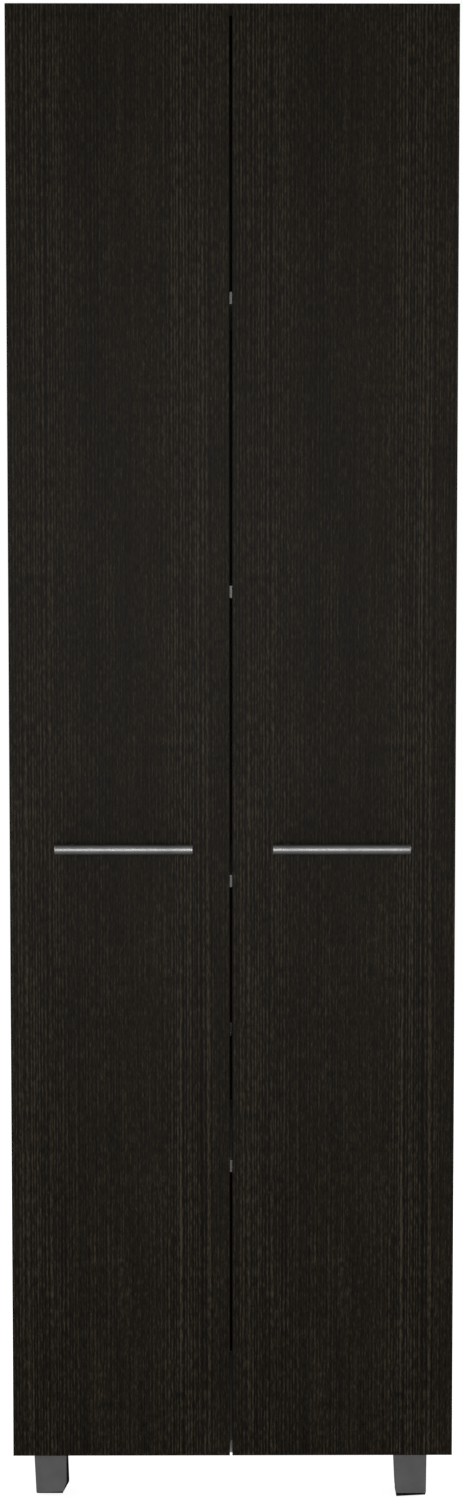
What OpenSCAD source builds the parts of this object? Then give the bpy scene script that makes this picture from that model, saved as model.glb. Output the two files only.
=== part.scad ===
// Tall two-door pantry cabinet on four moulded legs, with four shelves behind the doors,
// three concealed cup hinges and one horizontal bar handle on each door.
// Millimetres. The origin is the middle of the bounding box at floor level, +Z is up and
// the doors face -Y.

/* [Carcass] */
// Outside width of the carcass and of the two closed doors
cabinet_w = 540; // [500:10:640]
// Depth of the side panels, without the doors and the back
carcass_d = 380; // [300:10:460]
// Thickness of every board
board_t = 15; // [15:1:18]
// Distance from each shelf to the next, and from the bottom panel to the first shelf
shelf_pitch = 352; // [330:1:360]
// Thickness of the hardboard back
back_t = 3; // [3:0.5:5]
// Height of the joint in the back above the floor
back_joint_z = 519; // [480:1:600]
// How far the wall bracket is to the left of the middle
bracket_off = 80; // [0:5:120]

/* [Doors] */
// Height of the doors
door_h = 1758; // [1740:2:1900]
// Gap between the two closed doors
door_split = 3; // [2:0.2:4]
// How far that gap is to the left of the middle
door_split_off = 2; // [0:0.5:3]
// Gap between the back of a door and the front of the carcass
door_gap = 2; // [2:0.1:2.4]
// How far the bottom edge of the doors is above the underside of the carcass
door_lift = 2; // [1:0.5:6]
// How far the top edge of the doors is below the top of the carcass
door_drop = 3.5; // [0:0.5:4]

/* [Handles] */
// Length of the handle bar
bar_l = 166; // [150:2:200]
// Diameter of the handle bar
bar_dia = 12; // [10:0.5:14]
// Distance from the door face to the front of the bar
bar_reach = 30; // [26:1:40]
// Distance between the two posts of a handle
post_centres = 128; // [96:32:128]
// Distance from the middle of the cabinet to the middle of each handle
handle_x = 131; // [115:1:140]
// Height of the handles above the bottom edge of the doors
handle_lift = 752.5; // [730:0.5:800]

/* [Legs] */
// Height of the leg covers
leg_h = 52.5; // [45:0.5:80]
// Height of the black sole below each leg cover
sole_h = 4; // [2:0.5:6]
// Width and depth of a leg at its top
leg_w = 39.8; // [36:0.2:46]
// Distance from the outside of the carcass to the outside of each leg
leg_inset_x = 27; // [20:1:60]
// Distance from the front and from the rear of the carcass to the nearest leg
leg_inset_y = 3; // [3:1:40]
// How far each leg stands off the diagonal of its corner
leg_offset = 2.9; // [0:0.1:3]

/* [Hidden] */

$fn = 48;
ROUND = 64;
LEFT = -1;
RIGHT = 1;
EPS = 0.01;

// Colours
DARK_WOOD = [0.13, 0.115, 0.10];
LIGHT_BOARD = [0.72, 0.72, 0.71];
LEG_GREY = [0.36, 0.36, 0.36];
SOLE_BLACK = [0.05, 0.05, 0.05];
STEEL = [0.72, 0.72, 0.73];
BRIGHT = [0.80, 0.80, 0.81];
HARDBOARD = [0.35, 0.25, 0.17];
BEECH = [0.78, 0.63, 0.42];

// Heights
base_z = sole_h + leg_h;
door_z = base_z + door_lift;
door_top_z = door_z + door_h;
top_z = door_top_z + door_drop;
side_top_z = top_z - board_t;

// Widths
half_w = cabinet_w / 2;
inner_x = half_w - board_t;

// Depths: v is measured backwards from the front of the carcass
strip_t = 1;
total_d = bar_reach + board_t + door_gap + carcass_d + back_t + strip_t;
front_y = bar_reach + board_t + door_gap - total_d / 2;
back_y = front_y + carcass_d;
door_back_y = front_y - door_gap;
door_front_y = door_back_y - board_t;

// Knock-down fittings: a cam in one board draws in a bolt that is screwed into the other
cam_r = 7.5;
cam_depth = 12;
cam_in = 34;
bolt_r = 2.4;
bolt_thread_r = 2.9;
bolt_thread_l = 10;
bolt_head_r = 3.2;
bolt_hole_r = 3.5;
dowel_r = 4;
dowel_l = 30;
dowel_end = 10;
fit = 0.05;
joint_v = [60, carcass_d - 60];
dowel_v = [95, carcass_d - 95];

// Shelves and their pins
shelf_count = 4;
fixed_shelf = 2;
pin_r = 2.45;
pin_in = 9;
pin_out = 8;
pin_v = [40, carcass_d - 60];
shelf_d = carcass_d - 10;
loose_gap = 1;

// Back, with its joint strip and its nails
back_edge = 2;
back_seat = 0.4;
strip_web = 1.2;
strip_flange = 18;
nail_r = 0.8;
nail_l = 20;
nail_head_r = 2.2;
nail_head_t = 0.8;
nail_inset = 7.5;
nail_rows = [80, 300, back_joint_z - 39, back_joint_z + 41, 780, 1000, 1220, 1440, 1660, 1780];
nail_columns = [-170, 0, 170];
// Where the nails go through the back, as [x, z]
nail_places = concat(
    [for (z = nail_rows, s = [-1, 1]) if (z < side_top_z - nail_inset) [s * (half_w - nail_inset), z]],
    [for (x = nail_columns) [x, top_z - nail_inset]],
    [for (x = nail_columns) [x, base_z + nail_inset]]
);

// Wall bracket
bracket_w = 40;
bracket_leg = 30;
bracket_t = 2;
bracket_x = -bracket_off;
bracket_screw_x = [bracket_x - 12, bracket_x + 12];
bracket_hole_z = side_top_z - bracket_leg / 2 - bracket_t;
wall_hole_r = 2.6;

// Screws
screw_r = 1.75;
screw_l = 14;
screw_head_r = 3.6;
screw_head_t = 1.8;
handle_screw_r = 2;
handle_screw_head_r = 4.5;

// Handles
bar_r = bar_dia / 2;
bar_y = door_front_y - bar_reach + bar_r;
bar_z = door_z + handle_lift;
post_r = 5;
bar_chamfer = 0.8;

// Door bumpers
bumper_r = 4;
bumper_t = door_gap - 0.3;
bumper_in = 12;

// Hinges, in their own plane: u runs inwards from the outside of the carcass, v backwards
// from the front of the carcass, and w along the door's edge from the middle of the hinge
hinge_names = ["lower", "middle", "upper"];
hinge_end = 100;
hinge_z = [door_z + hinge_end, (door_z + door_top_z) / 2, door_top_z - hinge_end];
cup_u = 20.5;
cup_bore_r = 17.5;
cup_depth = 12;
cup_wall = 1;
cup_flange_t = 1.2;
cup_screw_u = cup_u + 6;
cup_screw_w = 24;
arm_pin = [25, -6];
arm_pin_r = 1.2;
running_fit = 0.07;
link_pin = [7.8, -8.6];
link_half_w = 4;
link_t = 2;
// Bends of a link, from its pin on the arm to its free end inside the cup
link_path = [[0, 0], [-6.4, -2.1], [-11, -4.6], [-14.6, -4], [-17.2, -1.2]];
arm_half_w = 6.2;
arm_wall = 1.6;
arm_web_u = 29.3;
arm_back_v = 66;
plate_v = 37;
plate_pitch = 32;
plate_half_v = 7;
plate_t = 2.5;
arm_screw_v = 54;
arm_screw_r = 2;

// Legs: outline of the front of a leg, and its outline from the side
leg_draft = 2.4;
front_draft = 0.4;
leg_clip_w = 4.2;
leg_clip_h = 13;
leg_rise = 1.5;
leg_wall = 2.5;
leg_top_t = 3;
leg_open_step = 1.2;
core_gap = 0.3;
core_in = 0.8;
core_h = 40;
rib_t = 6;
rib_out_top = 1.8;
rib_out_low = 3;
sole_recess = 10;
sole_slant = 5;
leg_screw_x = [13, 27];
leg_x = half_w - leg_inset_x - leg_w / 2;
leg_front_y = front_y + leg_inset_y + leg_w / 2;
leg_rear_y = back_y - leg_inset_y - leg_w / 2;

function shelf_z(i) = base_z + board_t / 2 + i * shelf_pitch;

// ---------------------------------------------------------------- helpers

// A block between two opposite corners
module block(lo, hi) translate(lo) cube(hi - lo);

// A round bar between two points
module peg(from, to, r, fn = 32) {
    run = to - from;
    l = norm(run);
    translate(from)
        rotate([0, acos(run[2] / l), atan2(run[1], run[0])])
            cylinder(h = l, r = r, $fn = fn);
}

// The left half of the cabinet as drawn, or its mirror image on the right
module on_side(side) {
    if (side == LEFT) children();
    else mirror([1, 0, 0]) children();
}

// A screw with a flat head, its head's underside at the point and its shank along dir
module screw(at, dir, r = screw_r, l = screw_l, head_r = screw_head_r, head_t = screw_head_t) {
    slot = 0.9;
    difference() {
        union() {
            peg(at, at + dir * l, r);
            peg(at - dir * head_t, at, head_r);
        }
        for (turn = [0, 90])
            translate(at - dir * head_t)
                rotate([0, acos(dir[2]), atan2(dir[1], dir[0])])
                    rotate([0, 0, turn])
                        translate([-head_r * 0.55, -slot / 2, -EPS])
                            cube([head_r * 1.1, slot, head_t * 0.6]);
    }
}

// Outline of a ribbon along a bent path, with mitred bends
function ribbon(path, half_t) =
    let (
        last = len(path) - 1,
        normals = [
            for (k = [0:last - 1])
                let (run = path[k + 1] - path[k])
                    [-run[1], run[0]] / norm(run)
        ],
        mitres = [
            for (k = [0:last])
                let (a = normals[max(k - 1, 0)], b = normals[min(k, last - 1)])
                    (a + b) / (1 + a * b)
        ]
    )
    concat(
        [for (k = [0:last]) path[k] + mitres[k] * half_t],
        [for (k = [last:-1:0]) path[k] - mitres[k] * half_t]
    );

// Where the inner edge of a door is, with the right door seen in the mirror
function door_inner_x(side) = side * door_split_off - door_split / 2;

// A point of the hinge plane, as it lies on the left side of the cabinet
function hinge_point(i, u, v, w = 0) = [u - half_w, front_y + v, hinge_z[i] + w];

// An outline in the hinge plane, given a height along the door's edge
module hinge_plate_shape(i, points, w_lo, w_hi)
    translate(hinge_point(i, 0, 0, w_lo))
        linear_extrude(height = w_hi - w_lo)
            polygon(points);

// ---------------------------------------------------------------- carcass boards

// Screw holes for the hinge plates and holes for shelf pins, in the left side panel
module side_holes() {
    x = -inner_x;
    for (z = hinge_z, w = [-plate_pitch / 2, plate_pitch / 2])
        peg([x + EPS, front_y + plate_v, z + w], [x - screw_l, front_y + plate_v, z + w], screw_r + fit);
    for (i = [1:shelf_count], v = pin_v)
        if (i != fixed_shelf)
            peg([x + EPS, front_y + v, shelf_z(i) - board_t / 2 - pin_r],
                [x - pin_in, front_y + v, shelf_z(i) - board_t / 2 - pin_r], pin_r + fit);
    for (z = [shelf_z(0), shelf_z(fixed_shelf)], v = joint_v)
        peg([x + EPS, front_y + v, z], [x - bolt_thread_l - 1, front_y + v, z], bolt_thread_r + fit);
    for (v = dowel_v)
        peg([x + EPS, front_y + v, shelf_z(0)], [x - dowel_end, front_y + v, shelf_z(0)], dowel_r + fit);
    for (v = joint_v) {
        peg([x + EPS, front_y + v, side_top_z - cam_in], [x - cam_depth, front_y + v, side_top_z - cam_in],
            cam_r + fit, ROUND);
        peg([x - board_t / 2, front_y + v, side_top_z - cam_in],
            [x - board_t / 2, front_y + v, side_top_z + EPS], bolt_hole_r);
    }
    for (v = dowel_v)
        peg([x - board_t / 2, front_y + v, side_top_z - dowel_l + dowel_end],
            [x - board_t / 2, front_y + v, side_top_z + EPS], dowel_r + fit);
    for (z = nail_rows)
        if (z < side_top_z - nail_inset)
            peg([-half_w + nail_inset, back_y - nail_l + back_t - fit, z],
                [-half_w + nail_inset, back_y + EPS, z], nail_r + fit, 24);
}

module side_panel(side)
    color(DARK_WOOD)
        on_side(side)
            difference() {
                block([-half_w, front_y, base_z], [-inner_x, back_y, side_top_z]);
                side_holes();
            }

module top_panel()
    color(DARK_WOOD)
        difference() {
            block([-half_w, front_y, side_top_z], [half_w, back_y, top_z]);
            for (s = [-1, 1], v = joint_v)
                peg([s * (half_w - board_t / 2), front_y + v, side_top_z - EPS],
                    [s * (half_w - board_t / 2), front_y + v, side_top_z + bolt_thread_l + 1],
                    bolt_thread_r + fit);
            for (s = [-1, 1], v = dowel_v)
                peg([s * (half_w - board_t / 2), front_y + v, side_top_z - EPS],
                    [s * (half_w - board_t / 2), front_y + v, side_top_z + dowel_end], dowel_r + fit);
            for (x = nail_columns)
                peg([x, back_y - nail_l + back_t - fit, top_z - nail_inset],
                    [x, back_y + EPS, top_z - nail_inset], nail_r + fit, 24);
            for (x = bracket_screw_x)
                peg([x, back_y - bracket_leg / 2, side_top_z - EPS],
                    [x, back_y - bracket_leg / 2, side_top_z + screw_l - 3], screw_r + fit);
        }

// Cam bores in the underside of a board between the sides, and the bolt holes in its ends
module cam_holes(z)
    for (s = [-1, 1], v = joint_v) {
        x = s * (inner_x - cam_in);
        peg([x, front_y + v, z - board_t / 2 - EPS], [x, front_y + v, z - board_t / 2 + cam_depth],
            cam_r + fit, ROUND);
        peg([x, front_y + v, z], [s * (inner_x + EPS), front_y + v, z], bolt_hole_r);
    }

module bottom_panel()
    color(LIGHT_BOARD)
        difference() {
            block([-inner_x, front_y, base_z], [inner_x, back_y, base_z + board_t]);
            cam_holes(shelf_z(0));
            for (s = [-1, 1], v = dowel_v)
                peg([s * (inner_x - dowel_l + dowel_end), front_y + v, shelf_z(0)],
                    [s * (inner_x + EPS), front_y + v, shelf_z(0)], dowel_r + fit);
            for (x = nail_columns)
                peg([x, back_y - nail_l + back_t - fit, base_z + nail_inset],
                    [x, back_y + EPS, base_z + nail_inset], nail_r + fit, 24);
            each_leg_screw() peg([0, 0, -EPS], [0, 0, screw_l - leg_top_t + 0.5], screw_r + fit);
        }

module shelf(i)
    color(LIGHT_BOARD)
        if (i == fixed_shelf)
            difference() {
                block([-inner_x, front_y, shelf_z(i) - board_t / 2],
                      [inner_x, front_y + shelf_d, shelf_z(i) + board_t / 2]);
                cam_holes(shelf_z(i));
            }
        else
            block([-inner_x + loose_gap, front_y, shelf_z(i) - board_t / 2],
                  [inner_x - loose_gap, front_y + shelf_d, shelf_z(i) + board_t / 2]);

// ---------------------------------------------------------------- back

module back_holes()
    for (p = nail_places)
        peg([p[0], back_y - EPS, p[1]], [p[0], back_y + back_t + EPS, p[1]], nail_r + fit, 24);

module back_panel_lower()
    color(HARDBOARD)
        difference() {
            block([-half_w + back_edge, back_y, base_z + back_edge],
                  [half_w - back_edge, back_y + back_t, back_joint_z - strip_web / 2 - back_seat]);
            back_holes();
        }

module back_panel_upper()
    color(HARDBOARD)
        difference() {
            block([-half_w + back_edge, back_y, back_joint_z + strip_web / 2 + back_seat],
                  [half_w - back_edge, back_y + back_t, top_z - back_edge]);
            back_holes();
            wall_hole(back_y - EPS, back_y + back_t + EPS);
        }

// H-section plastic strip that joins the two halves of the back
module back_joint_strip() {
    x = inner_x - 0.5;
    color(LIGHT_BOARD) {
        block([-x, back_y - strip_t, back_joint_z - strip_flange / 2],
              [x, back_y - 0.02, back_joint_z + strip_flange / 2]);
        block([-x, back_y + back_t + 0.02, back_joint_z - strip_flange / 2],
              [x, back_y + back_t + strip_t, back_joint_z + strip_flange / 2]);
        block([-x, back_y - strip_t / 2, back_joint_z - strip_web / 2],
              [x, back_y + back_t + strip_t / 2, back_joint_z + strip_web / 2]);
    }
}

module back_nails()
    color(STEEL)
        for (p = nail_places) {
            peg([p[0], back_y - nail_l + back_t, p[1]], [p[0], back_y + back_t + fit, p[1]], nail_r, 24);
            peg([p[0], back_y + back_t, p[1]], [p[0], back_y + back_t + nail_head_t, p[1]], nail_head_r);
        }

// ---------------------------------------------------------------- wall bracket

module wall_hole(y_lo, y_hi)
    peg([bracket_x, y_lo, bracket_hole_z], [bracket_x, y_hi, bracket_hole_z], wall_hole_r);

// Steel angle under the top panel that a screw through the back holds to the wall
module wall_bracket()
    color(STEEL)
        difference() {
            union() {
                block([bracket_x - bracket_w / 2, back_y - bracket_leg, side_top_z - bracket_t],
                      [bracket_x + bracket_w / 2, back_y, side_top_z]);
                block([bracket_x - bracket_w / 2, back_y - bracket_t, side_top_z - bracket_leg],
                      [bracket_x + bracket_w / 2, back_y, side_top_z]);
            }
            wall_hole(back_y - bracket_t - EPS, back_y + EPS);
            for (x = bracket_screw_x)
                peg([x, back_y - bracket_leg / 2, side_top_z - bracket_t - EPS],
                    [x, back_y - bracket_leg / 2, side_top_z + EPS], screw_r + 0.2);
        }

module bracket_screws()
    color(STEEL)
        for (x = bracket_screw_x)
            screw([x, back_y - bracket_leg / 2, side_top_z - bracket_t], [0, 0, 1], l = screw_l - 2);

// ---------------------------------------------------------------- knock-down fittings

// Cam housing, its face at the point and its body along dir, open towards the bolt
module cam_lock(at, dir, bolt_dir)
    difference() {
        peg(at, at + dir * (cam_depth - 0.2), cam_r, ROUND);
        peg(at + dir * (board_t / 2) - bolt_dir * (bolt_head_r + 0.5),
            at + dir * (board_t / 2) + bolt_dir * (cam_r + 1), bolt_head_r + 0.4);
        for (turn = [-1, 1])
            translate(at)
                rotate([0, acos(dir[2]), atan2(dir[1], dir[0])])
                    rotate([0, 0, 45 * turn])
                        translate([-3.2, -0.6, -EPS])
                            cube([6.4, 1.2, 2]);
    }

module cam_locks()
    color(STEEL) {
        for (s = [-1, 1], v = joint_v)
            cam_lock([s * inner_x, front_y + v, side_top_z - cam_in], [s, 0, 0], [0, 0, 1]);
        for (z = [shelf_z(0), shelf_z(fixed_shelf)], s = [-1, 1], v = joint_v)
            cam_lock([s * (inner_x - cam_in), front_y + v, z - board_t / 2], [0, 0, 1], [s, 0, 0]);
    }

// Bolt from its seat in one board to its head in the middle of a cam
module cam_bolt(seat, dir) {
    neck = 3;
    peg(seat - dir * bolt_thread_l, seat - dir * EPS, bolt_thread_r);
    peg(seat - dir, seat + dir * (cam_in - 2), bolt_r);
    peg(seat + dir * (cam_in - neck), seat + dir * cam_in, bolt_head_r);
}

module cam_bolts()
    color(STEEL) {
        for (s = [-1, 1], v = joint_v)
            cam_bolt([s * (half_w - board_t / 2), front_y + v, side_top_z], [0, 0, -1]);
        for (z = [shelf_z(0), shelf_z(fixed_shelf)], s = [-1, 1], v = joint_v)
            cam_bolt([s * inner_x, front_y + v, z], [-s, 0, 0]);
    }

module wood_dowels() {
    inside = dowel_l - dowel_end - 0.2;
    color(BEECH)
        for (s = [-1, 1], v = dowel_v) {
            peg([s * (half_w - board_t / 2), front_y + v, side_top_z - inside],
                [s * (half_w - board_t / 2), front_y + v, side_top_z + dowel_end - 0.2], dowel_r);
            peg([s * (inner_x - inside), front_y + v, shelf_z(0)],
                [s * (inner_x + dowel_end - 0.2), front_y + v, shelf_z(0)], dowel_r);
        }
}

module shelf_pins()
    color(BRIGHT)
        for (i = [1:shelf_count], s = [-1, 1], v = pin_v)
            if (i != fixed_shelf)
                peg([s * (inner_x + pin_in - 0.1), front_y + v, shelf_z(i) - board_t / 2 - pin_r],
                    [s * (inner_x - pin_out), front_y + v, shelf_z(i) - board_t / 2 - pin_r], pin_r);

// ---------------------------------------------------------------- legs

// Each leg is the same moulding, turned a quarter from one corner to the next
module at_leg(turn)
    translate([(turn == 0 || turn == 3) ? -leg_x : leg_x, turn < 2 ? leg_front_y : leg_rear_y, sole_h])
        rotate([0, 0, 90 * turn])
            translate([-leg_w / 2 - leg_offset, -leg_w / 2 + leg_offset, 0])
                children();

module each_leg_screw()
    for (turn = [0:3], x = leg_screw_x)
        at_leg(turn)
            translate([x, leg_w / 2, leg_h])
                children();

// The solid that has one outline from the front and another from the side
module two_views(front_outline, side_outline)
    intersection() {
        translate([0, leg_w + 10, 0])
            rotate([90, 0, 0])
                linear_extrude(height = leg_w + 20)
                    polygon(front_outline);
        translate([-10, 0, 0])
            rotate([90, 0, 90])
                linear_extrude(height = leg_w + 20)
                    polygon(side_outline);
    }

module leg_cover(turn) {
    w = leg_w;
    outer_front = [[leg_draft, 0], [w - leg_clip_w, leg_rise], [w, leg_clip_h], [w, leg_h], [0, leg_h]];
    outer_side = [[front_draft, 0], [w - leg_draft, 0], [w, leg_h], [0, leg_h]];
    hollow_front = [[leg_draft + leg_wall, -1], [w + 9, -1], [w + 9, leg_h - leg_top_t],
                    [leg_wall, leg_h - leg_top_t]];
    hollow_side = [[front_draft + leg_wall, -1], [w - leg_draft - leg_wall, -1],
                   [w - leg_wall, leg_h - leg_top_t], [leg_wall, leg_h - leg_top_t]];
    color(LEG_GREY)
        at_leg(turn)
            difference() {
                two_views(outer_front, outer_side);
                two_views(hollow_front, hollow_side);
                block([w - leg_open_step, leg_wall + front_draft, -1], [w + 1, w + 1, leg_h - leg_top_t]);
                for (x = leg_screw_x)
                    peg([x, w / 2, leg_h - leg_top_t - 1], [x, w / 2, leg_h + 1], screw_r + 0.2);
            }
}

// Underside of a foot. It stands back from the side of the leg that is the front of every second leg.
function sole_outline(turn) =
    let (
        near = leg_draft + core_gap,
        far = leg_w - leg_draft - core_gap,
        open_side = leg_w - leg_clip_w - core_in
    )
    turn % 2 == 0
        ? [[near, sole_recess], [open_side, sole_recess], [open_side, far], [near, far]]
        : [[near + sole_slant, front_draft + core_gap], [open_side, front_draft + core_gap],
           [open_side, far], [near, far]];

// Black foot inside each leg: a core that shows at the leg's open side, a rib that stands out
// there behind the front wall, and a sole
module leg_feet() {
    w = leg_w;
    in = leg_wall + core_gap;
    core_front = [[leg_draft + in, -EPS], [w - leg_clip_w - core_in, -EPS], [w - core_in, leg_clip_h],
                  [w - core_in, core_h], [leg_draft + in, core_h]];
    core_side = [[front_draft + in, -EPS], [w - leg_draft - in, -EPS], [w - leg_draft - in, core_h],
                 [front_draft + in, core_h]];
    rib_h = leg_h - leg_top_t - core_gap;
    rib_front = [[w / 2, -EPS], [w - leg_clip_w, -EPS], [w + rib_out_low, leg_clip_h],
                 [w + rib_out_top, rib_h], [w / 2, rib_h]];
    rib_side = [[front_draft + in, -EPS], [front_draft + in + rib_t, -EPS],
                [front_draft + in + rib_t, rib_h], [front_draft + in, rib_h]];
    color(SOLE_BLACK)
        for (turn = [0:3])
            at_leg(turn) {
                two_views(core_front, core_side);
                two_views(rib_front, rib_side);
                translate([0, 0, -sole_h])
                    linear_extrude(height = sole_h)
                        polygon(sole_outline(turn));
            }
}

module leg_screws()
    color(STEEL)
        each_leg_screw() screw([0, 0, -leg_top_t], [0, 0, 1]);

// ---------------------------------------------------------------- doors

module door_holes() {
    for (i = [0:2]) {
        peg(hinge_point(i, cup_u, -door_gap + EPS), hinge_point(i, cup_u, -door_gap - cup_depth),
            cup_bore_r, ROUND);
        for (w = [-cup_screw_w, cup_screw_w])
            peg(hinge_point(i, cup_screw_u, -door_gap + EPS, w),
                hinge_point(i, cup_screw_u, -door_gap - screw_l + 2.5, w), screw_r + fit);
    }
    for (s = [-1, 1])
        peg([-handle_x + s * post_centres / 2, door_back_y + EPS, bar_z],
            [-handle_x + s * post_centres / 2, door_front_y - EPS, bar_z], handle_screw_r + 0.25);
}

module door(side)
    color(DARK_WOOD)
        on_side(side)
            difference() {
                block([-half_w, door_front_y, door_z], [door_inner_x(side), door_back_y, door_top_z]);
                door_holes();
            }

module handle_bar(side)
    color(BRIGHT)
        on_side(side)
            translate([-handle_x, bar_y, bar_z])
                rotate([0, 90, 0])
                    rotate_extrude($fn = ROUND)
                        polygon([[0, -bar_l / 2], [bar_r - bar_chamfer, -bar_l / 2],
                                 [bar_r, -bar_l / 2 + bar_chamfer], [bar_r, bar_l / 2 - bar_chamfer],
                                 [bar_r - bar_chamfer, bar_l / 2], [0, bar_l / 2]]);

module handle_posts(side)
    color(STEEL)
        on_side(side)
            for (s = [-1, 1])
                difference() {
                    peg([-handle_x + s * post_centres / 2, door_front_y, bar_z],
                        [-handle_x + s * post_centres / 2, bar_y + 1, bar_z], post_r);
                    peg([-handle_x - bar_l, bar_y, bar_z], [-handle_x + bar_l, bar_y, bar_z], bar_r + 0.02,
                        ROUND);
                    peg([-handle_x + s * post_centres / 2, door_front_y + EPS, bar_z],
                        [-handle_x + s * post_centres / 2, door_front_y - 11, bar_z], handle_screw_r + fit);
                }

module handle_screws(side)
    color(STEEL)
        on_side(side)
            for (s = [-1, 1])
                screw([-handle_x + s * post_centres / 2, door_back_y, bar_z], [0, -1, 0],
                      r = handle_screw_r, l = board_t + 10, head_r = handle_screw_head_r, head_t = 2.2);

module door_bumpers(side)
    color([0.85, 0.85, 0.84])
        on_side(side)
            for (z = [base_z + board_t / 2 + 2, top_z - board_t / 2 - 2])
                peg([door_inner_x(side) - bumper_in, door_back_y, z],
                    [door_inner_x(side) - bumper_in, door_back_y + bumper_t, z], bumper_r);

// ---------------------------------------------------------------- hinges

// Pressed cup in the door, with its flange and the ends of the pin that the link turns on
module hinge_cup(side, i) {
    v = -door_gap;
    inner_r = cup_bore_r - fit - cup_wall;
    flange_half = cup_screw_w + 5;
    color(BRIGHT)
        on_side(side)
            difference() {
                union() {
                    peg(hinge_point(i, cup_u, v), hinge_point(i, cup_u, v - cup_depth + fit),
                        cup_bore_r - fit, ROUND);
                    peg(hinge_point(i, cup_u, v), hinge_point(i, cup_u, v + cup_flange_t), cup_bore_r + 1.5,
                        ROUND);
                    block(hinge_point(i, cup_u, v, -flange_half),
                          hinge_point(i, cup_u + 13, v + cup_flange_t, flange_half));
                }
                difference() {
                    peg(hinge_point(i, cup_u, v + cup_flange_t + 1),
                        hinge_point(i, cup_u, v - cup_depth + cup_wall), inner_r, ROUND);
                    for (s = [-1, 1])
                        peg(hinge_point(i, link_pin[0], link_pin[1], s * (link_half_w + 0.6)),
                            hinge_point(i, link_pin[0], link_pin[1], s * cup_bore_r), arm_pin_r);
                }
                for (w = [-cup_screw_w, cup_screw_w])
                    peg(hinge_point(i, cup_screw_u, v - 1, w),
                        hinge_point(i, cup_screw_u, v + cup_flange_t + 1, w), screw_r + 0.2);
            }
}

// Goose-necked link between the cheeks of the arm, bored for the arm's pin
module hinge_link(side, i)
    color(STEEL)
        on_side(side)
            translate(hinge_point(i, arm_pin[0], arm_pin[1], -link_half_w))
                difference() {
                    union() {
                        linear_extrude(height = 2 * link_half_w)
                            polygon(ribbon(link_path, link_t / 2));
                        cylinder(h = 2 * link_half_w, r = arm_pin_r + 1.3);
                    }
                    translate([0, 0, -1])
                        cylinder(h = 2 * link_half_w + 2, r = arm_pin_r + running_fit);
                }

// Channel-shaped arm on the mounting plate, with the pin across its nose
module hinge_arm(side, i) {
    web_u = arm_web_u;
    foot_u = web_u - 10;
    cheek = [[foot_u, arm_back_v], [web_u, arm_back_v], [web_u, 2], [28.6, -6], [27.4, -8.2], [25, -9.2],
             [22.8, -8.2], [21.8, -6], [20.6, 2], [foot_u, 9]];
    color(BRIGHT)
        on_side(side)
            difference() {
                union() {
                    for (s = [-1, 1])
                        hinge_plate_shape(i, cheek, s > 0 ? arm_half_w - arm_wall : -arm_half_w,
                                          s > 0 ? arm_half_w : arm_wall - arm_half_w);
                    block(hinge_point(i, web_u - arm_wall, 0, -arm_half_w),
                          hinge_point(i, web_u, arm_back_v, arm_half_w));
                    peg(hinge_point(i, arm_pin[0], arm_pin[1], -arm_half_w),
                        hinge_point(i, arm_pin[0], arm_pin[1], arm_half_w), arm_pin_r);
                }
                peg(hinge_point(i, web_u - arm_wall - 1, arm_screw_v), hinge_point(i, web_u + 1, arm_screw_v),
                    arm_screw_r + 0.2);
            }
}

// Cross-shaped mounting plates on the side panel, with a ridge inside each arm
module hinge_plates(side)
    color(STEEL)
        on_side(side)
            for (i = [0:2])
                difference() {
                    union() {
                        block(hinge_point(i, board_t, plate_v - plate_half_v, -22),
                              hinge_point(i, board_t + plate_t, plate_v + plate_half_v, 22));
                        block(hinge_point(i, board_t, 18, -4.3), hinge_point(i, 25.5, 64, 4.3));
                    }
                    for (w = [-plate_pitch / 2, plate_pitch / 2])
                        peg(hinge_point(i, board_t - 1, plate_v, w),
                            hinge_point(i, board_t + plate_t + 1, plate_v, w), screw_r + 0.2);
                    peg(hinge_point(i, 18, arm_screw_v), hinge_point(i, 26, arm_screw_v), arm_screw_r + fit);
                }

module plate_screws()
    color(STEEL)
        for (side = [LEFT, RIGHT], i = [0:2], w = [-plate_pitch / 2, plate_pitch / 2])
            on_side(side)
                screw(hinge_point(i, board_t + plate_t, plate_v, w), [-1, 0, 0]);

module arm_screws()
    color(STEEL)
        for (side = [LEFT, RIGHT], i = [0:2])
            on_side(side)
                screw(hinge_point(i, arm_web_u, arm_screw_v), [-1, 0, 0],
                      r = arm_screw_r, l = 9, head_r = 3.4, head_t = 1.4);

module cup_screws(side)
    color(STEEL)
        on_side(side)
            for (i = [0:2], w = [-cup_screw_w, cup_screw_w])
                screw(hinge_point(i, cup_screw_u, cup_flange_t - door_gap, w), [0, -1, 0],
                      l = screw_l - 2, head_t = 1.4);

// ---------------------------------------------------------------- drawing

side_panel(LEFT);  // left_side
side_panel(RIGHT);  // right_side
top_panel();
bottom_panel();
for (i = [1:shelf_count])
    shelf(i);
back_panel_lower();
back_panel_upper();
back_joint_strip();
leg_cover(0);  // leg_front_left
leg_cover(1);  // leg_front_right
leg_cover(2);  // leg_rear_right
leg_cover(3);  // leg_rear_left
leg_feet();
leg_screws();
cam_locks();
cam_bolts();
wood_dowels();
shelf_pins();
back_nails();
wall_bracket();
bracket_screws();
door(LEFT);  // left_door
door(RIGHT);  // right_door
handle_bar(LEFT);  // left_handle_bar
handle_bar(RIGHT);  // right_handle_bar
handle_posts(LEFT);  // left_handle_posts
handle_posts(RIGHT);  // right_handle_posts
handle_screws(LEFT);  // left_handle_screws
handle_screws(RIGHT);  // right_handle_screws
door_bumpers(LEFT);  // left_door_bumpers
door_bumpers(RIGHT);  // right_door_bumpers
cup_screws(LEFT);  // left_cup_screws
cup_screws(RIGHT);  // right_cup_screws
hinge_plates(LEFT);  // left_hinge_plates
hinge_plates(RIGHT);  // right_hinge_plates
plate_screws();
arm_screws();
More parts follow.
